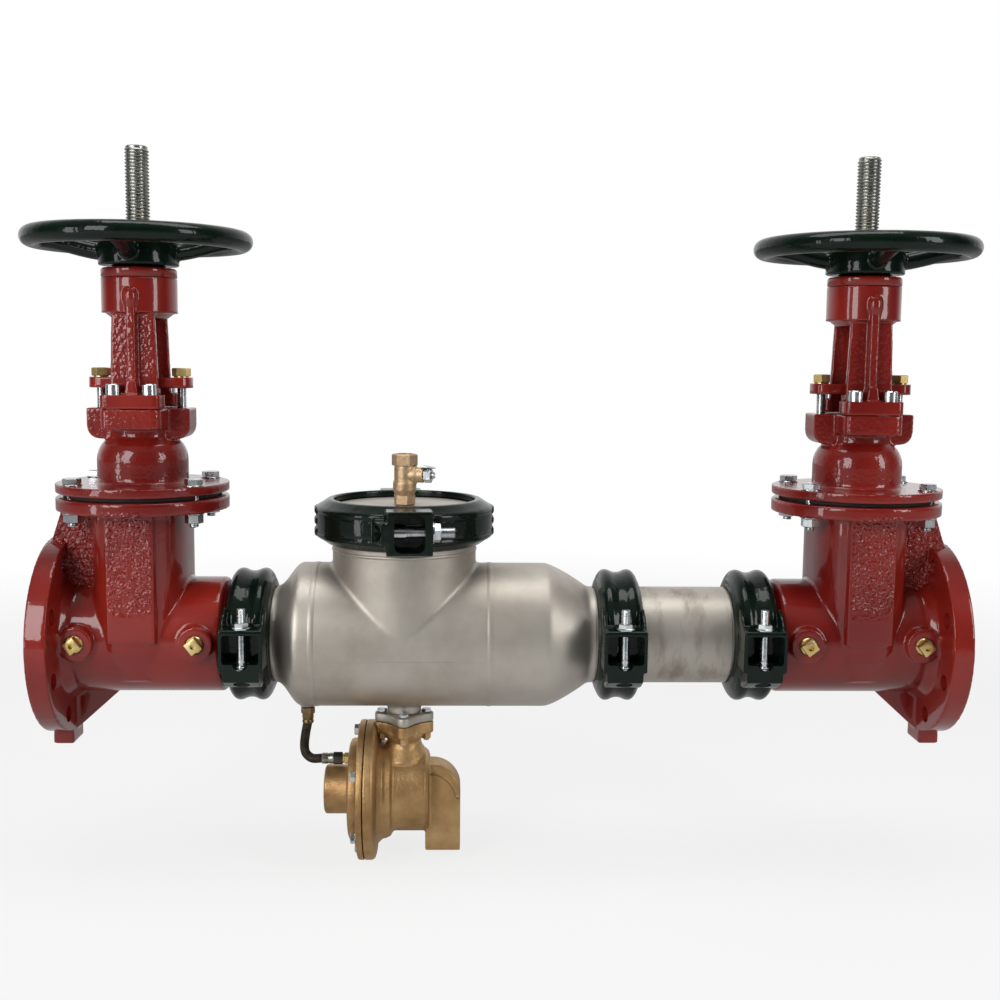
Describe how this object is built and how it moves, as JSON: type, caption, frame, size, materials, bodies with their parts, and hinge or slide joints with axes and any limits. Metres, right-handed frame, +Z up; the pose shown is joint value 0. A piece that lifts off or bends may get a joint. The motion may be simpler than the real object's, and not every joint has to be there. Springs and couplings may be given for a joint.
{
  "type": "reduced pressure backflow preventer",
  "caption": "Water line safety assembly: flanged gate valves with rising stems at each end, a stainless check body with a top cap, grooved couplings and a relief valve below.",
  "frame": {"origin": "centre of the inlet flange's face, on the pipe axis", "axes": "+X along the pipe in the direction of flow, +Z up along the valve stems, +Y to the back"},
  "size_m": [1.0972, 0.2596, 0.8358],
  "materials": {
    "red_epoxy": "gloss red epoxy on ductile iron",
    "black_enamel": "gloss black enamel on ductile iron",
    "stainless": "satin stainless steel",
    "bronze": "cast bronze",
    "brass": "machined brass",
    "zinc": "zinc plated steel",
    "stem_steel": "turned stainless steel",
    "rubber": "matt black rubber",
    "spring_steel": "drawn spring wire",
    "braid": "dark braided hose"
  },
  "bodies": {
    "assembly": {"access_cap": "stainless", "backflow_body": "stainless", "cap_coupling_left": "black_enamel", "cap_coupling_right": "black_enamel", "cap_seal": "rubber", "check_one_seat": "bronze", "check_one_spring": "spring_steel", "check_two_seat": "bronze", "check_two_spring": "spring_steel", "coupling_1_lower": "black_enamel", "coupling_1_seal": "rubber", "coupling_1_upper": "black_enamel", "coupling_2_lower": "black_enamel", "coupling_2_seal": "rubber", "coupling_2_upper": "black_enamel", "coupling_3_lower": "black_enamel", "coupling_3_seal": "rubber", "coupling_3_upper": "black_enamel", "inlet_bonnet": "red_epoxy", "inlet_bonnet_gasket": "rubber", "inlet_gland": "red_epoxy", "inlet_gland_bolt_a": "zinc", "inlet_gland_bolt_b": "zinc", "inlet_plug_flange_side": "brass", "inlet_plug_pipe_side": "brass", "inlet_valve_body": "red_epoxy", "inlet_yoke": "red_epoxy", "inlet_yoke_cap": "red_epoxy", "outlet_bonnet": "red_epoxy", "outlet_bonnet_gasket": "rubber", "outlet_gland": "red_epoxy", "outlet_gland_bolt_a": "zinc", "outlet_gland_bolt_b": "zinc", "outlet_plug_flange_side": "brass", "outlet_plug_pipe_side": "brass", "outlet_valve_body": "red_epoxy", "outlet_yoke": "red_epoxy", "outlet_yoke_cap": "red_epoxy", "relief_body": "bronze", "relief_cover": "bronze", "relief_diaphragm": "rubber", "relief_spring": "spring_steel", "sensing_hose": "braid", "spool": "stainless", "test_cock_body": "bronze"},
    "inlet_wheel": {"inlet_handwheel": "black_enamel", "inlet_stem_nut": "bronze", "inlet_wheel_nut": "bronze"},
    "inlet_stem_gate": {"inlet_stem": "stem_steel", "inlet_gate": "bronze"},
    "outlet_wheel": {"outlet_handwheel": "black_enamel", "outlet_stem_nut": "bronze", "outlet_wheel_nut": "bronze"},
    "outlet_stem_gate": {"outlet_stem": "stem_steel", "outlet_gate": "bronze"},
    "check_one_disc": {"check_one_poppet": "bronze"},
    "check_two_disc": {"check_two_poppet": "bronze"},
    "relief_plunger": {"relief_piston": "bronze"},
    "test_cock_plug": {"test_cock_stem": "brass"}
  },
  "joints": [
    {"name": "inlet_wheel_turn", "type": "hinge", "parent": "assembly", "child": "inlet_wheel", "pos_m": [0.107, 0, 0.44], "axis": [0, 0, 1], "range_deg": [-9350, 0]},
    {"name": "inlet_stem_lift", "type": "slide", "parent": "assembly", "child": "inlet_stem_gate", "axis": [0, 0, 1], "range_m": [-0.11, 0]},
    {"name": "outlet_wheel_turn", "type": "hinge", "parent": "assembly", "child": "outlet_wheel", "pos_m": [0.947, 0, 0.44], "axis": [0, 0, 1], "range_deg": [-9350, 0]},
    {"name": "outlet_stem_lift", "type": "slide", "parent": "assembly", "child": "outlet_stem_gate", "axis": [0, 0, 1], "range_m": [-0.11, 0]},
    {"name": "check_one_lift", "type": "slide", "parent": "assembly", "child": "check_one_disc", "axis": [1, 0, 0], "range_m": [0, 0.018], "stiffness_N_per_m": 600, "deforming": ["check_one_spring"]},
    {"name": "check_two_lift", "type": "slide", "parent": "assembly", "child": "check_two_disc", "axis": [1, 0, 0], "range_m": [0, 0.018], "stiffness_N_per_m": 600, "deforming": ["check_two_spring"]},
    {"name": "relief_travel", "type": "slide", "parent": "assembly", "child": "relief_plunger", "axis": [1, 0, 0], "range_m": [0, 0.008], "stiffness_N_per_m": 3000, "deforming": ["relief_spring"]},
    {"name": "test_cock_turn", "type": "hinge", "parent": "assembly", "child": "test_cock_plug", "pos_m": [0.411, 0, 0.19027], "axis": [0.9703, -0.2419, 0], "range_deg": [0, 90]}
  ],
  "couplings": [
    {"joint": "inlet_stem_lift", "follows": "inlet_wheel_turn", "m_per_rad": 0.00067375},
    {"joint": "outlet_stem_lift", "follows": "outlet_wheel_turn", "m_per_rad": 0.00067375}
  ]
}
